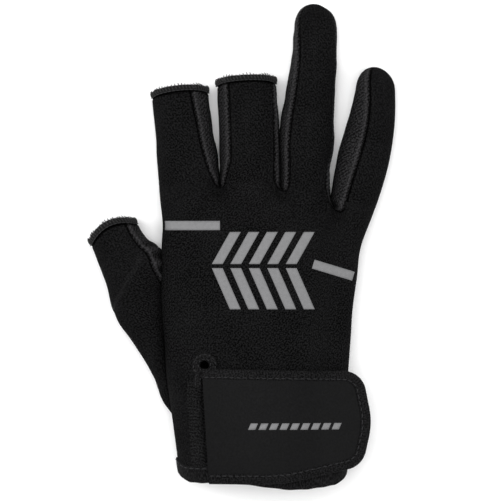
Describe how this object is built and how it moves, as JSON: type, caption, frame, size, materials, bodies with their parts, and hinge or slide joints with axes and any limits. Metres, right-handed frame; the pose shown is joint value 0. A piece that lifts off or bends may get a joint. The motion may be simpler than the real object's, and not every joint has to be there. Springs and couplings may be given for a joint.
{
  "type": "sailing glove",
  "caption": "Black right-hand sailing glove with cut thumb, index and middle fingers, full ring and little fingers, and a closed wrist strap.",
  "frame": {"origin": "under the middle of the palm, on the plane that the glove rests on palm down", "axes": "+Z away from the back of the hand, +Y towards the fingertips, +X towards the little finger"},
  "size_m": [0.1541, 0.2417, 0.0378],
  "materials": {
    "neoprene_jersey": "matt black jersey laminated on foam, fine diagonal rib",
    "fourchette_knit": "dark grey stretch twill knit",
    "palm_amara": "black synthetic suede",
    "palm_grip": "black synthetic leather with a fine grain",
    "binding_tape": "coarse black woven tape",
    "overlock_thread": "black overlock stitching",
    "loop_pile": "black loop pile",
    "hook_tape": "black plastic hooks",
    "silver_print": "silver-grey screen print",
    "cuff_facing": "dark grey ribbed facing",
    "strap_face": "smooth black coated face"
  },
  "bodies": {
    "hand": {"back_panel": "neoprene_jersey", "palm_panel": "palm_amara", "palm_reinforcement": "palm_grip", "cuff_hem": "binding_tape", "slit_eye": "binding_tape", "loop_patch": "loop_pile", "strap_root_fold": "cuff_facing", "back_print": "silver_print", "index_middle_crotch": "fourchette_knit", "middle_ring_crotch": "fourchette_knit", "ring_little_crotch": "fourchette_knit"},
    "index": {"index_back": "neoprene_jersey", "index_right_fourchette": "fourchette_knit", "index_palm": "palm_amara", "index_hem": "overlock_thread"},
    "middle": {"middle_back": "neoprene_jersey", "middle_left_fourchette": "fourchette_knit", "middle_right_fourchette": "fourchette_knit", "middle_palm": "palm_amara", "middle_hem": "overlock_thread"},
    "ring": {"ring_back": "neoprene_jersey", "ring_left_fourchette": "fourchette_knit", "ring_right_fourchette": "fourchette_knit", "ring_palm": "palm_amara"},
    "ring_tip": {"ring_tip_back": "neoprene_jersey", "ring_tip_left_fourchette": "fourchette_knit", "ring_tip_right_fourchette": "fourchette_knit", "ring_tip_palm": "palm_amara"},
    "little": {"little_back": "neoprene_jersey", "little_left_fourchette": "fourchette_knit", "little_palm": "palm_amara"},
    "little_tip": {"little_tip_back": "neoprene_jersey", "little_tip_left_fourchette": "fourchette_knit", "little_tip_palm": "palm_amara"},
    "thumb_base": {"thumb_base_back": "neoprene_jersey", "thumb_base_palm": "palm_amara", "thumb_web": "fourchette_knit"},
    "thumb_tip": {"thumb_tip_back": "neoprene_jersey", "thumb_tip_right_fourchette": "fourchette_knit", "thumb_tip_palm": "palm_amara", "thumb_hem": "overlock_thread"},
    "strap": {"strap_panel": "strap_face", "strap_tape": "binding_tape", "hook_patch": "hook_tape", "strap_print": "silver_print"}
  },
  "joints": [
    {"name": "index_knuckle", "type": "hinge", "parent": "hand", "child": "index", "pos_m": [-0.034, 0.053, 0], "axis": [-0.9956, -0.0941, 0], "range_deg": [0, 80], "stiffness_Nm_per_rad": 0.02},
    {"name": "middle_knuckle", "type": "hinge", "parent": "hand", "child": "middle", "pos_m": [-0.0029, 0.053, 0], "axis": [-0.999, -0.0454, 0], "range_deg": [0, 80], "stiffness_Nm_per_rad": 0.02},
    {"name": "ring_knuckle", "type": "hinge", "parent": "hand", "child": "ring", "pos_m": [0.0252, 0.053, 0], "axis": [-0.9986, 0.0523, 0], "range_deg": [0, 80], "stiffness_Nm_per_rad": 0.02},
    {"name": "ring_mid", "type": "hinge", "parent": "ring", "child": "ring_tip", "pos_m": [0.0267, 0.092, 0], "axis": [-0.9986, 0.0523, 0], "range_deg": [0, 90], "stiffness_Nm_per_rad": 0.015},
    {"name": "little_knuckle", "type": "hinge", "parent": "hand", "child": "little", "pos_m": [0.0508, 0.043, 0], "axis": [-0.9796, 0.2011, 0], "range_deg": [0, 80], "stiffness_Nm_per_rad": 0.02},
    {"name": "little_mid", "type": "hinge", "parent": "little", "child": "little_tip", "pos_m": [0.0574, 0.076, 0], "axis": [-0.9888, 0.1495, 0], "range_deg": [0, 90], "stiffness_Nm_per_rad": 0.012},
    {"name": "thumb_fold", "type": "hinge", "parent": "hand", "child": "thumb_base", "pos_m": [-0.048, 0.016, 0], "axis": [0.0361, -0.9993, 0], "range_deg": [0, 60], "stiffness_Nm_per_rad": 0.02},
    {"name": "thumb_bend", "type": "hinge", "parent": "thumb_base", "child": "thumb_tip", "pos_m": [-0.0643, 0.0104, 0], "axis": [-0.9178, -0.3971, 0], "range_deg": [0, 60], "stiffness_Nm_per_rad": 0.012},
    {"name": "strap_flap", "type": "hinge", "parent": "hand", "child": "strap", "pos_m": [-0.0269, -0.0444, 0.0326], "axis": [0.0613, -0.998, 0.0175], "range_deg": [0, 160]}
  ]
}
